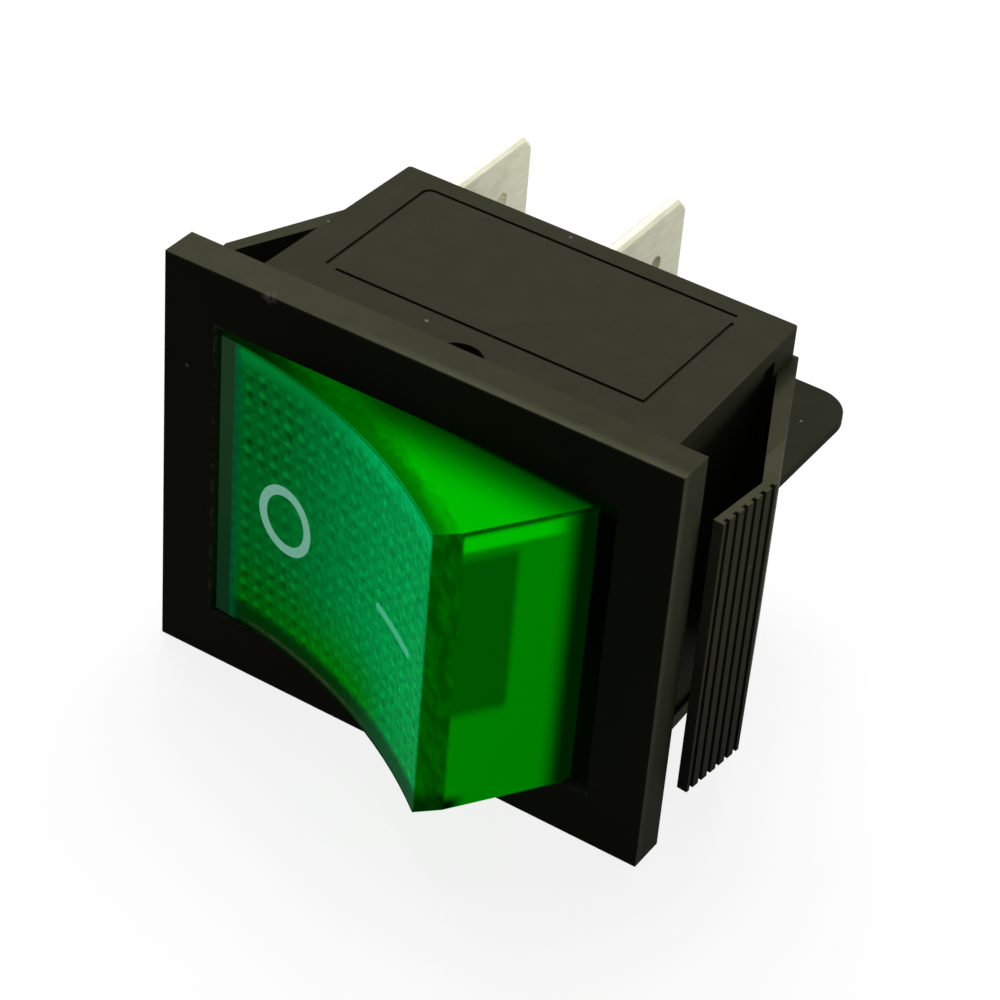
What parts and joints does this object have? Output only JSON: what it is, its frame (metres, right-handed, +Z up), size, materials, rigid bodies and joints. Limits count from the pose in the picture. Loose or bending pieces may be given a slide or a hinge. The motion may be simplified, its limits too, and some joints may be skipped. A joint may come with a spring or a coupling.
{
  "type": "rocker switch",
  "caption": "Panel-mount electrical switch with a translucent lit rocker, snap-in arms and push-on tabs, which opens and closes a pair of poles together.",
  "frame": {"origin": "middle of the bezel's rear face, the plane of the panel's front, on the body's axis", "axes": "+X along the bezel from the O end to the I end, +Y back through the panel to the tabs, +Z up across the poles, parallel to the rocker's pivot"},
  "size_m": [0.034, 0.0339, 0.0254],
  "materials": {
    "housing_plastic": "fine moulded satin",
    "rocker_plastic": "translucent, glossy",
    "terminal_metal": "tin-plated, satin",
    "contact_silver": "satin",
    "bridge_metal": "satin",
    "plunger_plastic": "moulded satin",
    "spring_wire": "satin",
    "lamp_glass": "clear",
    "resistor_coat": "lacquered",
    "lead_wire": "tinned"
  },
  "bodies": {
    "housing_body": {"housing": "housing_plastic", "common_terminal_upper": "terminal_metal", "load_terminal_upper": "terminal_metal", "fixed_contact_upper": "contact_silver", "common_terminal_lower": "terminal_metal", "load_terminal_lower": "terminal_metal", "fixed_contact_lower": "contact_silver"},
    "rocker_body": {"rocker": "rocker_plastic", "neon_lamp": "lamp_glass", "lamp_resistor": "resistor_coat", "lamp_lead_upper": "lead_wire", "plunger_spring_upper": "spring_wire", "lamp_lead_lower": "lead_wire", "plunger_spring_lower": "spring_wire"},
    "plunger_upper_body": {"plunger_upper": "plunger_plastic"},
    "bridge_upper_body": {"contact_bridge_upper": "bridge_metal", "moving_contact_upper": "contact_silver"},
    "plunger_lower_body": {"plunger_lower": "plunger_plastic"},
    "bridge_lower_body": {"contact_bridge_lower": "bridge_metal", "moving_contact_lower": "contact_silver"}
  },
  "joints": [
    {"name": "rocker_pivot", "type": "hinge", "parent": "housing_body", "child": "rocker_body", "pos_m": [0, 0.0016, 0], "axis": [0, 0, 1], "range_deg": [0, 42.8]},
    {"name": "plunger_upper_slide", "type": "slide", "parent": "rocker_body", "child": "plunger_upper_body", "axis": [-0.3649, -0.9311, 0], "range_m": [0, 0.0008], "stiffness_N_per_m": 200, "deforming": ["plunger_spring_upper"]},
    {"name": "bridge_upper_pivot", "type": "hinge", "parent": "housing_body", "child": "bridge_upper_body", "pos_m": [0, 0.01, 0], "axis": [0, 0, 1], "range_deg": [-20.01, 0]},
    {"name": "plunger_lower_slide", "type": "slide", "parent": "rocker_body", "child": "plunger_lower_body", "axis": [-0.3649, -0.9311, 0], "range_m": [0, 0.0008], "stiffness_N_per_m": 200, "deforming": ["plunger_spring_lower"]},
    {"name": "bridge_lower_pivot", "type": "hinge", "parent": "housing_body", "child": "bridge_lower_body", "pos_m": [0, 0.01, 0], "axis": [0, 0, 1], "range_deg": [-20.01, 0]}
  ],
  "couplings": [
    {"joint": "bridge_upper_pivot", "follows": "rocker_pivot", "ratio": -0.46729},
    {"joint": "bridge_lower_pivot", "follows": "rocker_pivot", "ratio": -0.46729}
  ]
}
